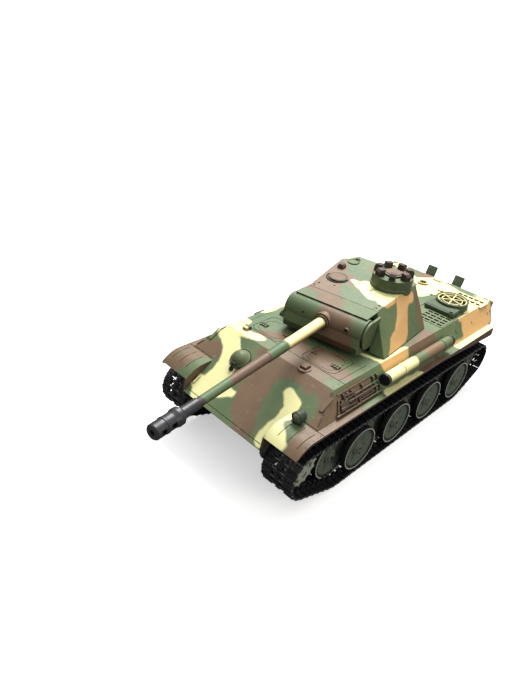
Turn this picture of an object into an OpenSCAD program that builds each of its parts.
// Radio-controlled scale tank, in millimetres. Every part is drawn with the nose
// along +X, the tank's left side along +Y and the ground at z = 0. place() then
// turns it so that the nose faces -Y and the left side faces +X.

/* [Overall] */
// Turret angle at rest, positive turns the gun to the tank's left
turret_yaw = 8.76; // [-20:0.01:20]
// Shift that puts the middle of the overall length on the origin
origin_shift = 43.72; // [30:0.01:60]

/* [Hull] */
// Half width of the hull roof
roof_y = 78.1; // [74:0.1:80]
// Height of the hull roof above the ground
roof_z = 114.5; // [112:0.1:118]
// Front edge of the hull roof
roof_front_x = 124.4; // [118:0.1:130]
// Rear edge of the hull roof
roof_rear_x = -212; // [-216:0.1:-208]
// Nose edge of the sloping front plate
nose_x = 201.7; // [199:0.1:204]
// Height of the nose edge
nose_z = 67.7; // [65:0.1:70]
// Half width of the side walls at the fender line
side_y = 92.7; // [90:0.1:94]
// Height of the fender line
fender_z = 91.5; // [90:0.1:93]
// Half width over the fenders
fender_y = 101.5; // [100:0.1:102]
// Front end of the fenders
fender_x = 198.3; // [196:0.1:200]
// Half width of the lower tub
tub_y = 58.4; // [57:0.1:58.5]
// Height of the belly above the ground
belly_z = 33; // [31:0.1:34]
// Shell thickness of the hull mouldings
wall = 2.4; // [2:0.1:2.8]

/* [Running gear] */
// Distance from one wheel axle to the next
axle_pitch = 35; // [34.5:0.1:35]
// Position of the first axle
axle_first_x = 120.6; // [119:0.1:121]
// Height of the wheel axles
axle_z = 31.6; // [31.6:0.1:31.8]
// Radius of the road wheels over the tyre
wheel_r = 26.7; // [26:0.1:26.7]
// Radius of the wheel rim inside the tyre
rim_r = 24.4; // [23.5:0.1:25]
// Radius of the wheel axle pins
axle_r = 2.0; // [1.8:0.1:2.2]
// Radius of the swing arm pivots
pivot_r = 2.5; // [2.2:0.1:2.8]
// Horizontal offset of the arm pivot ahead of the axle
arm_dx = 16; // [14:0.5:16]
// Height of the arm pivots
arm_z = 40; // [39:0.5:41]
// Radial running clearance of the pins in their holes
clearance = 0.05; // [0.03:0.01:0.08]

/* [Tracks] */
// Sprocket centre along the hull
sprocket_x = 172; // [171.5:0.1:173]
// Sprocket centre height
sprocket_z = 46; // [45:0.1:47]
// Number of sprocket teeth
teeth = 17; // [17:1:17]
// Idler centre along the hull
idler_x = -171; // [-173:0.1:-170]
// Idler centre height
idler_z = 43.5; // [42:0.1:45]
// Pitch radius of the track round the idler
idler_r = 23.2; // [22.8:0.1:23.6]
// Inner edge of the track
track_in_y = 61; // [61:0.1:61.4]
// Outer edge of the track
track_out_y = 102; // [101.6:0.1:102.4]
// Number of links in each track
links = 90; // [88:1:91]

/* [Turret] */
// Half width of the turret roof at its front edge
turret_front_y = 43.7; // [42:0.1:45]
// Front edge of the turret roof ahead of the ring centre
turret_front_x = 32; // [30:0.1:34]
// Height of the turret roof above the ground at the ring centre
turret_roof_z = 160.1; // [158:0.1:162]
// Fall of the roof towards the front, per millimetre
turret_slope = 0.08; // [0.05:0.01:0.1]
// Height of the turret's lower edge
turret_base_z = 115.8; // [115.4:0.1:116.5]
// Radius of the turret ring opening in the roof
ring_r = 52; // [50:0.1:52]
// Height of the gun axis
gun_z = 142; // [141:0.1:143]
// Muzzle distance from the turret centre
muzzle_x = 318; // [310:0.5:322]
// Trunnion distance from the turret centre
trunnion_x = 54; // [53.5:0.1:54.5]
// Trunnion height
trunnion_z = 138.5; // [138:0.1:139]

/* [Hidden] */
NODES = ["lower_hull", "upper_hull", "battery_door", "battery_pack", "control_electronics",
  "power_switch", "hull_screws", "drive_gearboxes", "turret_shell", "turret_base", "mantlet",
  "gun_barrel", "muzzle_brake", "cupola_ring", "cupola_hatch", "headlight", "mg_ball_mount",
  "cleaning_tube", "tool_racks", "exhaust_pipes", "stowage_bins", "fan_tower",
  "sprocket_l", "sprocket_r", "idler_l", "idler_r", "track_l", "track_r",
  "road_wheel_l1", "road_wheel_l2", "road_wheel_l3", "road_wheel_l4",
  "road_wheel_l5", "road_wheel_l6", "road_wheel_l7", "road_wheel_l8",
  "road_wheel_r1", "road_wheel_r2", "road_wheel_r3", "road_wheel_r4",
  "road_wheel_r5", "road_wheel_r6", "road_wheel_r7", "road_wheel_r8",
  "swing_arm_l1", "swing_arm_l2", "swing_arm_l3", "swing_arm_l4",
  "swing_arm_l5", "swing_arm_l6", "swing_arm_l7", "swing_arm_l8",
  "swing_arm_r1", "swing_arm_r2", "swing_arm_r3", "swing_arm_r4",
  "swing_arm_r5", "swing_arm_r6", "swing_arm_r7", "swing_arm_r8"];
node = "all";
$fn = 48;

green = "#7f9a6b";
brown = "#836b58";
cream = "#eae79c";
dark = "#3c3f3e";
black = "#1c1c1e";
steel = "#9aa0a0";

// ---- shared places and sizes
side_break_z = 92;     // side walls lean inwards above this height
upper_base_z = 86;     // bottom of the upper hull
tub_top_z = 85.9;
tub_front_x = 166;
rear_wall = 2.8;       // rear plate thickness, measured along x
tub_depth = 2.7;       // depth of the tub's front below the glacis surface
screw_at = [[100, 46], [100, -46], [-150, 26], [-150, -26]];
door_hinge_x = 60;
door_hinge_z = belly_z + 1.2;
door_pin_r = 0.9;
shaft_r = 2.5;         // sprocket shaft
idler_axle_r = 3;
trunnion_r = 2.5;
ring_gap = 0.1;
ball_x = 146.5;        // ball mount on the glacis, right of the centre line
ball_y = -31;
ball_stub_r = 5;
fan_x = -147;          // round deck openings, one each side
fan_y = 53;
side_gap = 0.06;       // gap between the side wall and what hangs on it

// ---- hull surfaces
glacis_angle = atan2(roof_z - nose_z, nose_x - roof_front_x);
side_lean = atan2(side_y - roof_y, roof_z - side_break_z);
function glacis_x(z) =
  roof_front_x + (roof_z - z) * (nose_x - roof_front_x) / (roof_z - nose_z);
function glacis_z(x) =
  roof_z - (x - roof_front_x) * (roof_z - nose_z) / (nose_x - roof_front_x);
// the same plane, moved inwards by depth
function under_x(z, depth) = glacis_x(z) - depth / sin(glacis_angle);
function under_z(x, depth) = glacis_z(x) - depth / cos(glacis_angle);
function rear_x(z) = roof_rear_x + 0.6 * (roof_z - z);
function side_at(z) = roof_y + (roof_z - z) * (side_y - roof_y) / (roof_z - side_break_z);
function axle_x(i) = axle_first_x - (i - 1) * axle_pitch;

// ---- frames
module place() rotate([0, 0, -90]) translate([-origin_shift, 0, 0]) children();
module turn() rotate([0, 0, turret_yaw]) children();
module right() mirror([0, 1, 0]) children();
module both() {
  children();
  right() children();
}
// on the front plate: origin on its surface, local +Z outwards
module on_glacis(x, y) translate([x, y, glacis_z(x)]) rotate([0, glacis_angle, 0]) children();
// on the left side wall: origin on the wall at height z, local +Y outwards
module on_side(x, z) translate([x, side_at(z), z]) rotate([side_lean, 0, 0]) children();

// ---- basic solids
// slab_y: outline of [x, z] points; slab_x: outline of [y, z] points
module slab_y(points, y0, y1)
  translate([0, y1, 0]) rotate([90, 0, 0]) linear_extrude(y1 - y0) polygon(points);
module slab_x(points, x0, x1)
  translate([x0, 0, 0]) rotate([90, 0, 90]) linear_extrude(x1 - x0) polygon(points);
module box(low, high) translate(low) cube(high - low);
module block(corner, size) translate(corner) cube(size);
module rod_x(y, z, radius, x0, x1, sides = 48)
  translate([x0, y, z]) rotate([0, 90, 0]) cylinder(r = radius, h = x1 - x0, $fn = sides);
module rod_y(x, z, radius, y0, y1, sides = 48)
  translate([x, y1, z]) rotate([90, 0, 0]) cylinder(r = radius, h = y1 - y0, $fn = sides);
module rod_z(x, y, radius, z0, z1, sides = 48)
  translate([x, y, z0]) cylinder(r = radius, h = z1 - z0, $fn = sides);
module rounded_rect(length, width, radius) {
  square([length, width - 2 * radius], center = true);
  square([length - 2 * radius, width], center = true);
  for (i = [-1, 1], j = [-1, 1])
    translate([i * (length / 2 - radius), j * (width / 2 - radius)])
      circle(r = radius, $fn = 32);
}

// ---------------------------------------------------------------- lower hull
// [x, z] outlines of the tub outside and inside
tub_outline = [
  [rear_x(tub_top_z), tub_top_z], [rear_x(belly_z), belly_z], [tub_front_x, belly_z],
  [199.3, 66], [under_x(tub_top_z, tub_depth), tub_top_z]];
tub_cavity = [
  [rear_x(tub_top_z) + rear_wall, tub_top_z + 1],
  [rear_x(belly_z + wall) + rear_wall, belly_z + wall],
  [tub_front_x - 1.2, belly_z + wall],
  [196.4, 66.4], [under_x(tub_top_z, tub_depth) - 1.5, tub_top_z + 1]];
// [x, z] outlines of the side plates that carry the eyes
eye_plate_low = [[170, 50], [190, 50], [197, 55]];
eye_plate_inner = concat(eye_plate_low,
  [[200, 62], [199.5, under_z(199.5, tub_depth)], [178, under_z(178, tub_depth)]]);
eye_plate_outer = concat(eye_plate_low,
  [[200.4, 62], [200, glacis_z(200) - 0.5], [178, glacis_z(178) - 1]]);
eye_plate_rear = [
  [-150, 75.7], [-189, 75.7], [-204, 63], [-204, 52], [-195, 44], [-178, 35], [-150, 35]];

module tub_side_fittings() {
  slab_y(eye_plate_inner, tub_y - 0.4, 58.7);
  slab_y(eye_plate_outer, 58.7, 60.7);
  slab_y(eye_plate_rear, tub_y - 0.4, 60.7);
  // idler axle and its collar
  rod_y(idler_x, idler_z, idler_axle_r, tub_y, 91.6);
  rod_y(idler_x, idler_z, 7, 60, 64);
  // swing arm bosses
  for (i = [1:8]) rod_y(axle_x(i) + arm_dx, arm_z, 5, 52, 57, 32);
}

module tub_side_holes() {
  for (i = [1:8]) rod_y(axle_x(i) + arm_dx, arm_z, pivot_r + clearance, 50, 60);
  rod_y(sprocket_x, sprocket_z, 3.6, 50, 64);
  // eyes at the front and rear
  rod_y(197.9, 61.2, 1.6, 57, 64);
  rod_y(-198, 56, 1.6, 57, 64);
}

module belly_openings() {
  // battery door with its hinge sockets
  rod_y(door_hinge_x, door_hinge_z, door_pin_r + clearance, -32, 32, 24);
  box([-48, -30, 30], [62, 30, 40]);
  // power switch slot
  box([-96, -2.2, 30], [-84, 2.2, 40]);
  // speaker slots
  for (i = [0:4]) box([-128 + 5 * i, -14, 30], [-125.5 + 5 * i, 14, 40]);
}

module lower_hull() color(green) difference() {
  union() {
    difference() {
      slab_y(tub_outline, -tub_y, tub_y);
      slab_y(tub_cavity, -tub_y + wall, tub_y - wall);
    }
    both() tub_side_fittings();
    // screw posts and board posts
    for (p = screw_at) rod_z(p[0], p[1], 4.4, belly_z, tub_top_z, 32);
    for (x = [-56, 16, 28, 50]) both() rod_z(x, 36, 2.6, belly_z + 1, 77.9, 24);
  }
  both() tub_side_holes();
  for (p = screw_at) {
    rod_z(p[0], p[1], 3, 30, 76, 32);
    rod_z(p[0], p[1], 1.6, 70, 90, 32);
  }
  belly_openings();
}

// ---------------------------------------------------------------- upper hull
// The front fender's top is level from fender_back_x to fender_bend_x, then falls
// on a parabola by fender_fall at its front end.
fender_back_x = 158;
fender_bend_x = 174.5;
fender_rear_x = -189;
fender_fall = 10.1;
fender_thick = 1.8;
lip_thick = 1.6;
lip_drop = 2.8;
function front_fender_z(x, depth) = fender_z - depth
  - fender_fall * pow(max(0, x - fender_bend_x) / (fender_x - fender_bend_x), 2);
fender_steps = [for (k = [0:12]) fender_bend_x + k * (fender_x - fender_bend_x) / 12];
fender_curve = [for (x = fender_steps) [x, front_fender_z(x, 0)]];
fender_top = concat([[fender_back_x, fender_z]], fender_curve);
fender_underside = concat(
  [for (k = [12:-1:0])
    [fender_steps[k] - 0.1 * k, front_fender_z(fender_steps[k], fender_thick)]],
  [[fender_back_x, fender_z - fender_thick]]);
lip_underside = [for (k = [12:-1:0])
  [fender_steps[k], front_fender_z(fender_steps[k], lip_drop)]];

module fender() {
  // strip along the side and its down-turned edge
  box([fender_rear_x, 89, fender_z - fender_thick], [160, fender_y, fender_z]);
  box([fender_rear_x, fender_y - lip_thick, fender_z - lip_drop], [160, fender_y, fender_z]);
  // skirt that hangs below the strip and deepens towards the rear
  slab_y([[fender_rear_x, fender_z - 1], [-190.5, 84], [-189.5, 78.6], [-172, 79.6],
    [-45, 89.2], [-45, fender_z - 1]], fender_y - 1.7, fender_y - 0.1);
  // front fender and its lip
  slab_y(concat(fender_top, fender_underside), 58.6, fender_y);
  slab_y(concat([[fender_back_x, fender_z - lip_drop]], fender_top, lip_underside),
    fender_y - lip_thick, fender_y);
  // wall between front fender and nose plate
  slab_y(concat([[150, glacis_z(150) - 1.5], [162, fender_z]], fender_curve,
    [[200.6, glacis_z(200.6) + 0.6], [200.6, glacis_z(200.6)]]), 58.5, 60.3);
}

module hull_skin() {
  intersection() {
    slab_y([[roof_rear_x, roof_z], [roof_front_x, roof_z],
      [glacis_x(upper_base_z), upper_base_z], [rear_x(upper_base_z), upper_base_z]],
      -110, 110);
    slab_x([[-roof_y, roof_z], [roof_y, roof_z], [side_y, side_break_z],
      [side_y, upper_base_z], [-side_y, upper_base_z], [-side_y, side_break_z]], -230, 210);
  }
  // nose plate between the fenders
  slab_y([[150, glacis_z(150)], [nose_x, nose_z], [nose_x - 1.3, nose_z - 2.1],
    [150, glacis_z(150) - 2.9]], -58.6, 58.6);
  both() fender();
}

module hull_cavity() {
  ceiling_z = roof_z - wall;
  side_wall = 2.9;
  top_y = side_at(ceiling_z) - side_wall;
  low_y = side_y - side_wall;
  intersection() {
    slab_y([[roof_rear_x + 4.3, ceiling_z], [under_x(ceiling_z, wall), ceiling_z],
      [under_x(80, wall), 80], [rear_x(80) + rear_wall, 80]], -110, 110);
    union() {
      slab_x([[-top_y, ceiling_z], [top_y, ceiling_z], [low_y, side_break_z],
        [low_y, 87.8], [-low_y, 87.8], [-low_y, side_break_z]], -230, 165);
      box([-230, -tub_y + wall, 70], [210, tub_y - wall, ceiling_z]);
    }
  }
}

module front_roof_fittings() {
  // hinges and grab handles of the two roof hatches
  for (s = [-1, 1]) {
    for (k = [-1, 0, 1])
      box([87.5, s * 53 + 3.4 * k - 1.1, roof_z - 0.5],
        [94, s * 53 + 3.4 * k + 1.1, roof_z + 1.6]);
    box([88.6, s * 21.6 - 3.4, roof_z - 0.5], [90, s * 21.6 + 3.4, roof_z + 1.1]);
  }
  // left periscope cover on its round foot
  rod_z(119.5, 35, 7.2, roof_z - 0.5, roof_z + 1, 40);
  slab_y([[113.5, roof_z + 0.5], [122.5, roof_z + 0.5], [122.5, roof_z + 3.4],
    [118.5, roof_z + 4.6], [113.5, roof_z + 3]], 31, 38.6);
  // right periscope cover
  slab_y([[109, roof_z - 0.5], [117, roof_z - 0.5], [117, roof_z + 3.2],
    [113, roof_z + 4.4], [109, roof_z + 3]], -62, -55);
}

module rear_deck_fittings() {
  // engine hatch, round covers, rear block and lifting lugs
  translate([-128, 0, roof_z - 0.5]) linear_extrude(1.3) rounded_rect(62, 58, 4);
  for (y = [-19, 19]) rod_z(-113, y, 5.5, roof_z, roof_z + 3.2, 40);
  rod_z(-178, -8, 7.4, roof_z - 0.5, roof_z + 2, 40);
  rod_z(-178, 20, 4, roof_z - 0.5, roof_z + 1.6, 32);
  box([-208, -6, roof_z - 0.5], [-202, 6, roof_z + 1.5]);
  for (y = [-20, 20], x = [-153, -103])
    box([x - 2, y - 1.2, roof_z], [x + 2, y + 1.2, roof_z + 2]);
  // raised frames round the grilles
  both() {
    translate([-97, 59, roof_z - 0.5]) linear_extrude(1.1) rounded_rect(32, 36, 2.5);
    translate([-187, 59, roof_z - 0.5]) linear_extrude(1.1) rounded_rect(22, 44, 2.5);
  }
  rod_z(fan_x, -fan_y, 22, roof_z - 0.5, roof_z + 1.4, 64);
  rod_z(fan_x, fan_y, 24, roof_z - 0.5, roof_z + 1, 64);
}

module glacis_fittings() {
  // pads at the upper and lower ends of each edge
  both() {
    on_glacis(139, side_at(glacis_z(139)) - 1.6)
      translate([0, 0, 0.2]) cube([17, 4, 2], center = true);
    on_glacis(186, 55.6) translate([0, 0, 0.3]) cube([10, 2.4, 1.6], center = true);
  }
  // seat of the ball mount
  on_glacis(ball_x, ball_y) translate([0, 0, -0.5]) cylinder(r = 12.6, h = 1.4, $fn = 64);
}

// rounded outline of the given line width, cut into the roof round (x, y)
module roof_groove(x, y, length, width, radius, line, depth)
  translate([x, y, roof_z - depth]) linear_extrude(depth + 1) difference() {
    rounded_rect(length, width, radius);
    rounded_rect(length - 2 * line, width - 2 * line, radius - line);
  }

module roof_lines() both() {
  roof_groove(86, 38, 40, 46, 8, 0.8, 1);
  roof_groove(88, 38, 30, 36, 9, 0.6, 0.9);
  box([107.4, 0, roof_z - 0.9], [108.2, 80, roof_z + 1]);
  box([62, 70.6, roof_z - 0.8], [108, 71.2, roof_z + 1]);
}

// slots as wide as the gaps between them along x, each cut into columns along y
module grille_slots(x0, x1, y0, y1, rows, columns) {
  bar = 1.4;
  slot = (x1 - x0) / (2 * rows - 1);
  step = (y1 - y0 + bar) / columns;
  for (i = [0:rows - 1], j = [0:columns - 1])
    box([x0 + 2 * i * slot, y0 + j * step, 108],
      [x0 + (2 * i + 1) * slot, y0 + (j + 1) * step - bar, 120]);
}

module deck_openings() {
  both() {
    grille_slots(-110, -84, 43, 75, 4, 4);
    grille_slots(-195, -179, 40, 77, 2, 5);
  }
  // right fan opening keeps a hub, spokes and two rings
  difference() {
    rod_z(fan_x, -fan_y, 19, 108, 120, 64);
    rod_z(fan_x, -fan_y, 5, 100, 121, 32);
    for (a = [0:45:135])
      translate([fan_x, -fan_y, 110]) rotate([0, 0, a]) block([-20, -0.8, 0], [40, 1.6, 12]);
    for (ring = [9.5, 14.5])
      translate([fan_x, -fan_y, 110])
        rotate_extrude($fn = 64) translate([ring - 0.5, 0]) square([1, 12]);
  }
  rod_z(fan_x, fan_y, 16, 108, 120, 64);
  rod_z(-178, -8, 5, 108, 118, 40);
}

module fender_lines() both() {
  box([160.6, 60, fender_z - 0.8], [161.4, fender_y + 1, fender_z + 1]);
  // grooves along the front fender
  for (y = [70, 82, 94])
    slab_y(concat(
      [for (x = [166, 170, 174.5, 178.5, 182.5, 186.5, 190.5]) [x, front_fender_z(x, 0.7)]],
      [[190.5, 96], [166, 96]]), y - 0.4, y + 0.4);
}

module upper_hull() color(green) difference() {
  union() {
    difference() {
      hull_skin();
      hull_cavity();
    }
    // screw posts
    for (p = screw_at) rod_z(p[0], p[1], 4, 86.1, roof_z - 1, 32);
    front_roof_fittings();
    rear_deck_fittings();
    glacis_fittings();
  }
  rod_z(0, 0, ring_r + ring_gap, 100, 120, 96);
  for (p = screw_at) rod_z(p[0], p[1], 1.35, 80, 97, 32);
  roof_lines();
  on_glacis(ball_x, ball_y)
    translate([0, 0, -6]) cylinder(r = ball_stub_r + clearance, h = 20, $fn = 48);
  // line along the lower edge of the nose plate
  on_glacis(197.6, 0) translate([0, 0, -0.2]) cube([0.8, 112, 1.4], center = true);
  deck_openings();
  // tail light slot in the rear plate
  box([-230, -3, 96], [-190, 3, 99]);
  fender_lines();
  // slots in the side walls
  both() for (x = [-194, -150, -109]) on_side(x, 103) cube([1.2, 8, 4.5], center = true);
}

// ---------------------------------------------------------------- inside the hull
module battery_door() color(dark) union() {
  box([-47.7, -29.7, belly_z], [61.4, 29.7, belly_z + wall]);
  rod_y(door_hinge_x, door_hinge_z, door_pin_r, -31.8, 31.8, 24);
  // ribs underneath, latch on the inside
  for (i = [0:5]) box([-38 + 16 * i, -24, belly_z - 0.8], [-34 + 16 * i, 24, belly_z + 0.5]);
  box([-46, -6, belly_z + wall - 0.2], [-40, 6, belly_z + wall + 1.6]);
}

// six cells lying along x, each with a terminal at its rear end
module battery_pack() color("#2f5f9f") for (j = [0, 1], i = [0:2])
  translate([-52 + 44.2 * i, -11.2 + 23 * j, 48.4]) rotate([0, 90, 0]) {
    cylinder(r = 11.2, h = 43, $fn = 40);
    translate([0, 0, -0.6]) cylinder(r = 4, h = 0.8, $fn = 32);
  }

module control_electronics() {
  // main board, then receiver board
  color("#2d6b3c") box([-60, -40, 78], [20, 40, 79.6]);
  color("#2d6b3c") box([24, -40, 78], [54, 40, 79.6]);
  // heat sink
  color(dark) box([-50, -20, 79.7], [-20, 10, 88]);
  // speaker
  color(dark) rod_z(-119.5, 0, 20, belly_z + wall + 0.2, 50, 48);
  // smoke unit
  color(cream) rod_x(0, 44.7, 9, -157, -137, 40);
}

module power_switch() color(black) union() {
  box([-95.8, -1.9, belly_z - 1.8], [-91.2, 1.9, belly_z + wall + 0.4]);
  box([-98, -3.4, belly_z + wall + 0.3], [-89.2, 3.4, belly_z + wall + 2]);
}

// cross-head screws driven upwards, heads at the bottom
module hull_screws() color(steel) for (p = screw_at) difference() {
  union() {
    rod_z(p[0], p[1], 2.7, 73.6, 75.9, 32);
    rod_z(p[0], p[1], 1.3, 75.8, 95, 32);
  }
  for (a = [0, 90])
    translate([p[0], p[1], 73.5]) rotate([0, 0, a]) cube([3.6, 0.8, 1.8], center = true);
}

module drive_gearboxes() both() {
  color(steel) difference() {
    slab_y([[141, 38.5], [160, 38.5], [185, 61], [178, 76], [141, 76]], 6, 50);
    rod_y(sprocket_x, sprocket_z, shaft_r + clearance, 20, 60);
  }
  // motor
  color(dark) rod_x(26, 57, 13.6, 108, 140.9, 48);
}

// ---------------------------------------------------------------- tracks
pitch_line_z = 2.4;   // height of the link pins above the ground
link_top = 1.9;       // link's wheel face above its pin line
tooth_pitch = 9.375;  // track pitch the sprocket is made for
track_pin_r = 0.6;
// circles the pin line runs round: [x, z, radius]
// last wheel, first wheel, sprocket, idler
guides = [
  [axle_x(8), axle_z, axle_z - pitch_line_z],
  [axle_x(1), axle_z, axle_z - pitch_line_z],
  [sprocket_x, sprocket_z, tooth_pitch / 2 / sin(180 / teeth)],
  [idler_x, idler_z, idler_r]];
function centre(i) = [guides[i % 4][0], guides[i % 4][1]];
function radius(i) = guides[i % 4][2];
// outward normal of the straight run from circle i to circle i + 1
function run_normal(i) = let (
    gap = centre(i + 1) - centre(i),
    along = gap / norm(gap),
    taper = (radius(i) - radius(i + 1)) / norm(gap))
  taper * along + sqrt(1 - taper * taper) * [along[1], -along[0]];
function wrap(angle) = angle < 0 ? angle + 360 : angle;
normals = [for (i = [0:3]) run_normal(i)];
run_starts = [for (i = [0:3]) centre(i) + radius(i) * normals[i]];
run_ends = [for (i = [0:3]) centre(i + 1) + radius(i + 1) * normals[i]];
runs = [for (i = [0:3]) norm(run_ends[i] - run_starts[i])];
angles = [for (i = [0:3]) atan2(normals[i][1], normals[i][0])];
// arc that follows each straight run
arcs = [for (i = [0:3]) wrap(angles[(i + 1) % 4] - angles[i]) * PI / 180 * radius(i + 1)];
belt = runs[0] + runs[1] + runs[2] + runs[3] + arcs[0] + arcs[1] + arcs[2] + arcs[3];
// [x, z] at a distance along the belt, counted from the start of run i
function belt_point(dist, i = 0) =
  dist <= runs[i] ? run_starts[i] + (run_ends[i] - run_starts[i]) * dist / runs[i]
  : dist <= runs[i] + arcs[i] ?
    let (a = angles[i] + (dist - runs[i]) / radius(i + 1) * 180 / PI)
    centre(i + 1) + radius(i + 1) * [cos(a), sin(a)]
  : i < 3 ? belt_point(dist - runs[i] - arcs[i], i + 1)
  : run_starts[0];
pins = [for (k = [0:links - 1]) belt_point(k * belt / links)];

// one link, centred between its pins, wheel face up
module link(pitch) difference() {
  union() {
    slab_y([[-3.2, 0], [-3, -1], [3, -1], [3.2, 0], [3, link_top], [-3, link_top]],
      track_in_y, track_out_y);
    // two outer knuckles at one end, one middle knuckle at the other
    for (span = [[track_in_y + 0.4, track_in_y + 8.5], [track_out_y - 8.5, track_out_y - 0.4]]) {
      box([-pitch / 2, span[0], -1], [-2.9, span[1], 1]);
      rod_y(-pitch / 2, 0, 1.2, span[0], span[1], 16);
    }
    box([2.9, 78.8, -1], [pitch / 2, 84.2, 1]);
    rod_y(pitch / 2, 0, 1.2, 78.8, 84.2, 16);
    // guide horns
    for (y = [71.55, 91.75])
      slab_y([[-2.4, link_top - 0.2], [2.4, link_top - 0.2], [1.2, 7], [-1.2, 7]],
        y - 1.1, y + 1.1);
    // ground cleat
    box([-1.1, track_in_y + 0.6, -pitch_line_z], [1.1, track_out_y - 0.6, -0.8]);
  }
  // pockets for the sprocket teeth
  for (y = [76, 87]) box([-4, y - 2.1, 0.3], [4, y + 2.1, 3]);
  // pin holes
  rod_y(pitch / 2, 0, track_pin_r + clearance, 70, 90, 16);
  rod_y(-pitch / 2, 0, track_pin_r + clearance, 50, 110, 16);
}

module track() for (k = [0:links - 1])
  let (start = pins[k], end = pins[(k + 1) % links], step = end - start) {
    color(black)
      translate([(start[0] + end[0]) / 2, 0, (start[1] + end[1]) / 2])
        rotate([0, -atan2(step[1], step[0]), 0]) link(norm(step));
    color(steel)
      rod_y(start[0], start[1], track_pin_r, track_in_y + 0.6, track_out_y - 0.6, 16);
  }

// ---------------------------------------------------------------- wheels
// Profiles are lists of [radius, distance y along the axle].
module spin(profile, x, z)
  translate([x, 0, z]) rotate([-90, 0, 0]) rotate_extrude($fn = 64) polygon(profile);

tyre_in_r = 23.4;
tyre_bevel = 0.6;
wheel_bore_r = axle_r + clearance;
function tyre(y0, y1, end_r = tyre_in_r) = [
  [tyre_in_r, y0], [wheel_r - tyre_bevel, y0], [wheel_r, y0 + tyre_bevel],
  [wheel_r, y1 - tyre_bevel], [wheel_r - tyre_bevel, y1], [end_r, y1]];

// two widely spaced discs, for the even axles
wide_wheel = concat(
  [[wheel_bore_r, 62.2], [7, 62.2], [8, 65.2], [22.5, 65.2]],
  tyre(62.8, 69),
  [[22.5, 67.2], [8, 67.2], [6.4, 69.5], [6.4, 93], [8, 95.8], [22.5, 94.8]],
  tyre(93.9, 100.2, rim_r),
  [[23.5, 99.4], [21.8, 97.2], [12, 98.6], [7.2, 98.2], [6.6, 100], [wheel_bore_r, 100]]);
// two close discs between the guide horns, for the odd axles
paired_wheel = concat(
  [[wheel_bore_r, 62.2], [6.4, 62.2], [6.4, 74.5], [8, 76], [22.5, 76]],
  tyre(74, 80.4),
  [[22.5, 79], [8, 79], [7, 81.7], [8, 84.4], [22.5, 84.4]],
  tyre(83, 89.5, rim_r),
  [[23.5, 88.7], [21.8, 86.6], [12, 87.4], [7.2, 87.4], [6.4, 91], [wheel_bore_r, 91]]);
module road_wheel(i)
  color(green) spin(i % 2 == 0 ? wide_wheel : paired_wheel, axle_x(i), axle_z);

module swing_arm(i) color(dark) union() {
  pivot_x = axle_x(i) + arm_dx;
  rod_y(pivot_x, arm_z, pivot_r, 52.2, 59);
  hull() {
    rod_y(pivot_x, arm_z, 5, 58.8, 61.6, 32);
    rod_y(axle_x(i), axle_z, 4.4, 58.8, 61.6, 32);
  }
  rod_y(axle_x(i), axle_z, axle_r, 61, i % 2 == 0 ? 99.4 : 90.4);
}

module tooth_ring(y0, y1)
  translate([sprocket_x, y1, sprocket_z]) rotate([90, 0, 0])
    linear_extrude(y1 - y0) difference() {
      union() {
        circle(r = 22, $fn = 96);
        for (k = [0:teeth - 1]) rotate([0, 0, (k + 0.5) * 360 / teeth])
          polygon([[21, -2.6], [24.2, -1.1], [24.2, 1.1], [21, 2.6]]);
      }
      for (k = [0:7])
        rotate([0, 0, k * 45 + 10]) translate([15.6, 0]) square([4, 6.4], center = true);
    }

module sprocket() color(steel) union() {
  tooth_ring(74.4, 77.6);
  tooth_ring(85.4, 88.6);
  rod_y(sprocket_x, sprocket_z, 12.4, 72, 89.4);
  rod_y(sprocket_x, sprocket_z, 8, 66, 90.4);
  rod_y(sprocket_x, sprocket_z, shaft_r, 24, 70);
  // bolt heads
  for (k = [0:5])
    rod_y(sprocket_x + 9.6 * cos(60 * k), sprocket_z + 9.6 * sin(60 * k), 1.1, 89, 90.4, 16);
}

idler_profile = [
  [idler_axle_r + clearance, 64.4], [6, 64.4], [7, 72], [8, 75], [17, 75],
  [17.6, 73.6], [20.5, 73.6], [20.5, 78], [17.6, 78],
  [17, 77], [8, 77], [7, 79], [7, 84], [8, 86], [17, 86],
  [17.6, 85], [20.5, 85], [20.5, 89.6], [17.6, 89.6],
  [17, 88.4], [9, 88.4], [8, 91], [idler_axle_r + clearance, 91]];
module idler() color(green) difference() {
  spin(idler_profile, idler_x, idler_z);
  for (a = [for (k = [0:6]) k * 360 / 7])
    rod_y(idler_x + 12.6 * cos(a), idler_z + 12.6 * sin(a), 2.6, 70, 95, 24);
}

// ---------------------------------------------------------------- turret
turret_rear_x = -52;   // where the sides turn in towards the rear face
cupola_x = -33;
cupola_y = 27.5;
function turret_top(x) = turret_roof_z - turret_slope * x;
// left half outlines in plan, front to rear, drawn in by inset
function roof_half(inset) = concat(
  [for (k = [0:5]) let (u = k / 5) [
    turret_front_x - inset + u * (turret_rear_x + 2 * inset - turret_front_x),
    turret_front_y - inset * 1.05 + u * (50 - turret_front_y)]],
  [[-72 + inset, 36 - inset * 0.7]]);
function base_half(inset) = concat(
  [for (k = [0:5]) let (u = k / 5) [
    48.5 - inset + u * (turret_rear_x + 2 * inset - 48.5),
    69.5 - inset * 1.05 + u * 4.3 + 1.2 * u * (1 - u)]],
  [[-86 + inset, 50 - inset * 0.7]]);
function with_mirror(half) =
  concat(half, [for (i = [len(half) - 1:-1:0]) [half[i][0], -half[i][1]]]);

module turret_solid(inset, roof_drop, base_z) hull() {
  translate([0, 0, base_z]) linear_extrude(0.02) polygon(with_mirror(base_half(inset)));
  translate([0, 0, turret_roof_z - roof_drop]) rotate([0, atan(turret_slope), 0])
    translate([0, 0, -0.02]) linear_extrude(0.02) polygon(with_mirror(roof_half(inset)));
}

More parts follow.
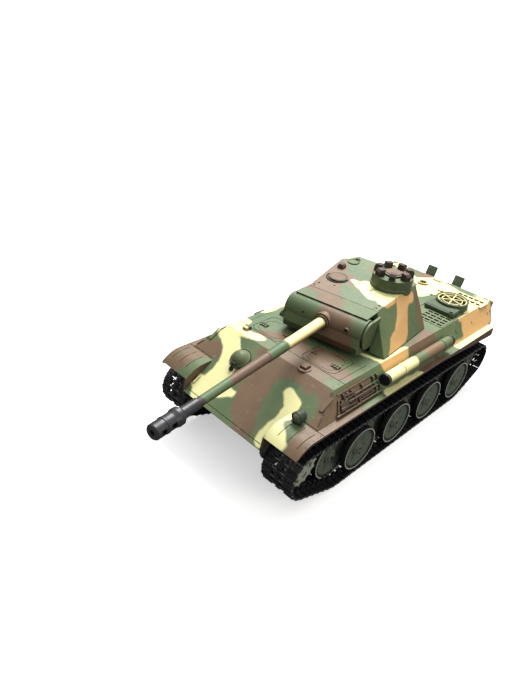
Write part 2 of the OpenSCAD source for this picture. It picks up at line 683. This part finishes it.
module turret_body() {
  shield_y = 50.6;   // half width of the recess for the gun shield
  difference() {
    union() {
      turret_solid(0, 0, turret_base_z);
      rod_z(cupola_x, cupola_y, 24.2, 150, 165, 64);
    }
    difference() {
      turret_solid(2.7, 2.6, turret_base_z - 1);
      rod_z(cupola_x, cupola_y, 24.2, 160, 165, 64);
    }
    rod_y(trunnion_x, trunnion_z, 21, -shield_y, shield_y, 64);
    box([30, -shield_y, 114], [90, shield_y, trunnion_z]);
    box([trunnion_x - 12, -shield_y, 120], [90, shield_y, 170]);
  }
}

module turret_fittings() {
  // fixed cover plate over the shield
  slab_y([[30, turret_top(30) - 1.8], [30, turret_top(30) - 0.5],
    [57.2, 157.3], [57.2, 156], [34, 156]], -44.8, 44.8);
  // ears that carry the trunnions
  both() intersection() {
    union() {
      rod_y(trunnion_x, trunnion_z, 15.6, 47.8, 50.4, 64);
      box([34, 47.8, 123], [54, 50.4, 153]);
    }
    box([33.9, 47, 122], [72, 51, 154.4]);
  }
  // ventilator, periscope cover, round cover, small block and studs on the roof
  rod_z(-6, -28, 11.6, turret_top(-6) - 2, turret_top(-6) + 1, 64);
  slab_y([[-34.5, turret_top(-34) - 1], [-27, turret_top(-27) - 1],
    [-27, turret_top(-27) + 3.2], [-31, turret_top(-31) + 4.4],
    [-34.5, turret_top(-34) + 3]], -42, -34);
  rod_z(-53, -34, 6.5, turret_top(-53) - 2, turret_top(-53) + 0.8, 48);
  box([-64, -35, 162], [-60, -31.5, turret_top(-62) + 2.4]);
  for (p = [[-4, 17], [-16, 40], [20, -38], [20, 40]])
    rod_z(p[0], p[1], 1.1, 155, turret_top(p[0]) + 1, 16);
  // escape hatch on the rear face
  translate([-78.5, 0, 141]) rotate([0, -74, 0]) cylinder(r = 15, h = 3.2, $fn = 64);
}

module turret_shell() color(green) turn() difference() {
  union() {
    turret_body();
    turret_fittings();
  }
  both() rod_y(trunnion_x, trunnion_z, trunnion_r + clearance, 46, 56);
  // scribed ventilator ring and a short scribed line
  translate([-6, -28, turret_top(-6) - 0.2])
    rotate_extrude($fn = 64) translate([9.9, 0]) square([0.9, 3]);
  box([-12, -1.5, turret_top(-8) - 0.6], [-3, -0.7, turret_top(-8) + 3]);
  // cupola bore
  rod_z(cupola_x, cupola_y, 15, 150, 168, 64);
}

module ring_gear() translate([0, 0, 104]) linear_extrude(4) union() {
  circle(r = 48.6, $fn = 96);
  for (k = [0:71])
    rotate([0, 0, k * 5]) polygon([[48, -1.2], [50.6, -0.6], [50.6, 0.6], [48, 1.2]]);
}

module turret_base() turn() {
  color(dark) difference() {
    union() {
      translate([0, 0, 115.9]) linear_extrude(1.7) polygon(with_mirror(base_half(4.4)));
      rod_z(0, 0, ring_r - ring_gap, 107, 116, 96);
      ring_gear();
    }
    rod_z(0, 0, 42, 90, 130, 96);
  }
  // elevation and traverse machinery standing on the ring
  color(steel) both() box([10, 44.2, 117.6], [33.6, 56, 132]);
}

// ---------------------------------------------------------------- gun
barrel_r = 5.9;        // at the root
bore_r = 2.6;
spigot_r = 3.6;        // front end of the barrel, inside the brake
shield_half_y = 47;
// [x, z] outlines of the gun shield; both share the lower edge
shield_low = [[66, 119.2], [52, 119.2]];
shield_outline = concat(
  [[trunnion_x - 13, trunnion_z + 8], [trunnion_x - 8, trunnion_z + 14],
   [trunnion_x, trunnion_z + 18], [trunnion_x + 20, trunnion_z + 18],
   [trunnion_x + 20, trunnion_z], [73.4, 136], [74.2, 128], [73.2, 121.2]],
  shield_low, [[41, 124]]);
shield_chin = concat(
  [[50, trunnion_z], [71.3, trunnion_z], [74.4, 128], [73.4, 121.2]],
  shield_low, [[45, 124]]);

module mantlet() color(green) turn() difference() {
  union() {
    intersection() {
      slab_y(shield_outline, -shield_half_y, shield_half_y);
      union() {
        rod_y(trunnion_x, trunnion_z, 17.3, -shield_half_y, shield_half_y, 96);
        slab_y(shield_chin, -shield_half_y, shield_half_y);
      }
    }
    both() rod_y(trunnion_x, trunnion_z, trunnion_r, 46, 50.3);
    // barrel collars and the boss beside them
    rod_x(0, gun_z, 10, 60, 71.6, 64);
    rod_x(0, gun_z, 8.2, 60, 73.4, 64);
    rod_x(29.6, gun_z + 1, 3.2, 60, 71.4, 32);
  }
  // hollow back, barrel socket, sight and co-axial gun holes
  box([30, -44, 124], [62, 44, 150]);
  rod_x(0, gun_z, barrel_r + 0.02, 40, 90, 64);
  rod_x(29.6, gun_z + 1, 1.9, 60, 90, 32);
  rod_x(-25.3, gun_z + 1.6, 1.2, 60, 90, 24);
}

module barrel_taper(x, length, rear_r, front_r)
  translate([x, 0, gun_z]) rotate([0, 90, 0])
    cylinder(r1 = rear_r, r2 = front_r, h = length, $fn = 64);

module gun_barrel() color(cream) turn() difference() {
  union() {
    rod_x(0, gun_z, barrel_r, 58, 78, 64);
    barrel_taper(78, 92, barrel_r, 5.4);
    barrel_taper(170, 98, 5.1, 4.3);
    rod_x(0, gun_z, spigot_r, 267, 276, 48);
    rod_x(0, gun_z, 7.5, 52, 58.2, 48);
  }
  rod_x(0, gun_z, bore_r, 40, 300, 32);
}

// [radius, distance from the turret centre]
brake_profile = [
  [bore_r, muzzle_x], [bore_r, 276.2], [spigot_r + clearance, 276.2],
  [spigot_r + clearance, 268.1], [5.3, 268.1], [5.3, 281], [5.6, 286], [8.2, 289],
  [8.4, 293], [7.6, 295.5], [7.2, 297], [7.2, 304], [7.6, 304.6], [7.6, 306.4],
  [7.1, 307], [7.1, 316.8], [6.3, muzzle_x]];
module muzzle_brake() color(dark) turn()
  translate([0, 0, gun_z]) rotate([0, 90, 0]) difference() {
    rotate_extrude($fn = 64) polygon(brake_profile);
    // two windows on each side
    for (a = [0, 180], z = [297.8, 308.6])
      rotate([0, 0, a]) block([-2.6, 3, z], [5.2, 10, 5.2]);
  }

// ---------------------------------------------------------------- cupola
hinge_angle = 148.6;
hinge_x = 18.4;        // from the cupola centre
hinge_z = 177;
hinge_pin_r = 0.8;
module on_cupola(angle) translate([cupola_x, cupola_y, 0]) rotate([0, 0, angle]) children();

module cupola_ring() color(green) turn() difference() {
  union() {
    rod_z(cupola_x, cupola_y, 23.6, 165.05, 175.5, 72);
    // periscope hoods
    for (k = [0:6]) on_cupola(20 + k * 360 / 7)
      slab_y([[14.4, 175], [22.8, 175], [22.8, 181], [20.6, 183.4], [14.4, 183.4]], -3.7, 3.7);
    // hinge lugs
    on_cupola(hinge_angle) for (y = [-3.4, 2.2]) box([16, y, 175], [20.6, y + 1.2, 178.6]);
  }
  rod_z(cupola_x, cupola_y, 9.8, 160, 180, 64);
  on_cupola(hinge_angle) rod_y(hinge_x, hinge_z, hinge_pin_r + clearance, -10, 10, 24);
}

module cupola_hatch() color(brown) turn() on_cupola(hinge_angle) union() {
  rod_z(0, 0, 11.4, 175.6, 177.6, 64);
  rod_z(0, 0, 8.6, 177.4, 178.4, 64);
  box([10, -2, 175.7], [hinge_x, 2, 177.4]);
  rod_y(hinge_x, hinge_z, hinge_pin_r, -3.4, 3.4, 24);
  rod_y(hinge_x, hinge_z, 1.3, -2, 2, 24);
}

// ---------------------------------------------------------------- fittings
lamp_y = 73;
lamp_z = 99;
lens_r = 5.25;
module headlight() {
  color(green) difference() {
    union() {
      translate([167, lamp_y, lamp_z]) rotate([0, 90, 0]) rotate_extrude($fn = 48)
        polygon([[0, -9], [3, -8.6], [5.6, -5.5], [6.4, 0], [6.4, 2.6], [0, 2.6]]);
      rod_z(165.3, lamp_y, 1.9, fender_z + 0.6, 96, 24);
    }
    rod_x(lamp_y, lamp_z, lens_r + clearance, 167.4, 172, 48);
  }
  color("#d8dde0") rod_x(lamp_y, lamp_z, lens_r, 167.45, 169.2, 48);
  // foot
  color(green) rod_z(165.4, lamp_y, 2.8, fender_z + 0.05, fender_z + 0.85, 32);
}

module mg_ball_mount() {
  color(green) on_glacis(ball_x, ball_y) union() {
    rotate_extrude($fn = 64) polygon([[0, 0.95], [11.2, 0.95], [11.2, 1.6], [9.9, 3.2],
      [8.6, 5.8], [6.4, 8.3], [3.4, 9.7], [0, 10.1]]);
    translate([0, 0, -5]) cylinder(r = ball_stub_r, h = 6.2, $fn = 48);
  }
  // short stud on the plate, ahead of the ball
  color(black) on_glacis(159.6, ball_y)
    translate([0, 0, 0.05]) cylinder(r = 2.2, h = 2.2, $fn = 24);
}

// tube along the left side wall, with two straps and an end cap front and rear
tube_y = 92.9;
tube_z = 106;
module cleaning_tube() {
  color(cream) union() {
    rod_x(tube_y, tube_z, 6.3, -76, 53, 48);
    for (x = [-62, 22]) {
      rod_x(tube_y, tube_z, 6.8, x, x + 3.4, 48);
      on_side(x, 101.75) block([0, side_gap, -3], [3.4, 3, 6]);
    }
  }
  color(dark) rod_x(tube_y, tube_z, 6.7, 53.05, 57, 48);
  color(dark) rod_x(tube_y, tube_z, 6.7, -80, -76.05, 48);
}

// open rack of rails, uprights and clipped tools on each side wall
module tool_racks() color(brown) {
  on_side(0, 104) {
    block([58, side_gap, -14.5], [76, 2.4, 2]);
    block([60, side_gap, 6], [66, 2.2, 1.8]);
    for (x = [60, 76, 98, 118]) block([x, side_gap, -14.4], [1.8, 2, 21]);
    block([62, 2.05, -4.2], [60, 2.6, 2.4]);
    translate([104, 2.05, -11]) rotate([0, 18, 0]) cube([12, 2.4, 6]);
    block([88, 2.05, -9], [9, 2.6, 5]);
    translate([122, side_gap, -14]) rotate([0, -12, 0]) cube([2, 2, 15]);
  }
  right() on_side(0, 104) {
    block([34, side_gap, -14], [70, 2.4, 2]);
    block([34, side_gap, 6], [70, 2.2, 1.8]);
    for (x = [34, 56, 80, 102]) block([x, side_gap, -13], [1.8, 2, 20]);
    block([40, 2.05, -8], [56, 5, 10]);
  }
}

module on_exhaust() translate([-212, 21.7, 88]) rotate([0, -22, 0]) children();
module exhaust_pipes() both() color(dark) difference() {
  union() {
    on_exhaust() cylinder(r = 7.2, h = 38.5, $fn = 40);
    // housing on the rear plate
    slab_y([[rear_x(74) - 0.1, 74], [rear_x(96) - 0.1, 96], [-216, 98], [-222, 90],
      [-216, 80], [-205, 74]], 14.4, 29);
  }
  on_exhaust() translate([0, 0, 14]) cylinder(r = 5.8, h = 40, $fn = 40);
}

module stowage_bins() color(green) both() {
  slab_y([[-221, 76], [rear_x(76) - 0.1, 76], [rear_x(110) - 0.1, 110], [-225.4, 108.5]],
    37, 78);
  // straps
  for (y = [46, 68])
    slab_y([[-222, 77], [-223, 77], [-226.4, 107.6], [-224.5, 107.6]], y - 1.6, y + 1.6);
}

module grille_ring(outer_r, inner_r, height) difference() {
  cylinder(r = outer_r, h = height, $fn = 64);
  translate([0, 0, -1]) cylinder(r = inner_r, h = 5, $fn = 64);
}

// raised housing over the left fan opening, with a spoked guard inside
module fan_tower() {
  guard_r = 18.55;
  color(green) translate([fan_x, fan_y, 0]) difference() {
    union() {
      rod_z(0, 0, 21, 115.55, 124.6, 72);
      slab_y([[16, 115.6], [33, 115.6], [33, 119.6], [30, 121.6], [16, 121.6]], -20, 20);
      rod_z(30.5, 16, 4.2, 115.6, 121.2, 32);
      rod_z(30.5, 16, 2.4, 121, 123, 32);
    }
    rod_z(0, 0, guard_r + clearance, 117, 130, 72);
  }
  color(cream) translate([fan_x, fan_y, 121.6]) intersection() {
    cylinder(r = guard_r, h = 2.4, $fn = 72);
    union() {
      for (a = [0:60:120]) rotate([0, 0, a + 12]) block([-20, -0.7, 0.8], [40, 1.4, 1.6]);
      grille_ring(13.4, 12.2, 1.6);
      grille_ring(guard_r, 17.2, 2.4);
    }
  }
}

// ---------------------------------------------------------------- nodes
function shown(name) = node == "all" || node == name;
if (shown("lower_hull")) place() lower_hull();
if (shown("upper_hull")) place() upper_hull();
if (shown("battery_door")) place() battery_door();
if (shown("battery_pack")) place() battery_pack();
if (shown("control_electronics")) place() control_electronics();
if (shown("power_switch")) place() power_switch();
if (shown("hull_screws")) place() hull_screws();
if (shown("drive_gearboxes")) place() drive_gearboxes();
if (shown("turret_shell")) place() turret_shell();
if (shown("turret_base")) place() turret_base();
if (shown("mantlet")) place() mantlet();
if (shown("gun_barrel")) place() gun_barrel();
if (shown("muzzle_brake")) place() muzzle_brake();
if (shown("cupola_ring")) place() cupola_ring();
if (shown("cupola_hatch")) place() cupola_hatch();
if (shown("headlight")) place() headlight();
if (shown("mg_ball_mount")) place() mg_ball_mount();
if (shown("cleaning_tube")) place() cleaning_tube();
if (shown("tool_racks")) place() tool_racks();
if (shown("exhaust_pipes")) place() exhaust_pipes();
if (shown("stowage_bins")) place() stowage_bins();
if (shown("fan_tower")) place() fan_tower();
if (shown("sprocket_l")) place() sprocket();
if (shown("sprocket_r")) place() right() sprocket();
if (shown("idler_l")) place() idler();
if (shown("idler_r")) place() right() idler();
if (shown("track_l")) place() track();
if (shown("track_r")) place() right() track();
for (i = [1:8]) if (shown(str("road_wheel_l", i))) place() road_wheel(i);
for (i = [1:8]) if (shown(str("road_wheel_r", i))) place() right() road_wheel(i);
for (i = [1:8]) if (shown(str("swing_arm_l", i))) place() swing_arm(i);
for (i = [1:8]) if (shown(str("swing_arm_r", i))) place() right() swing_arm(i);
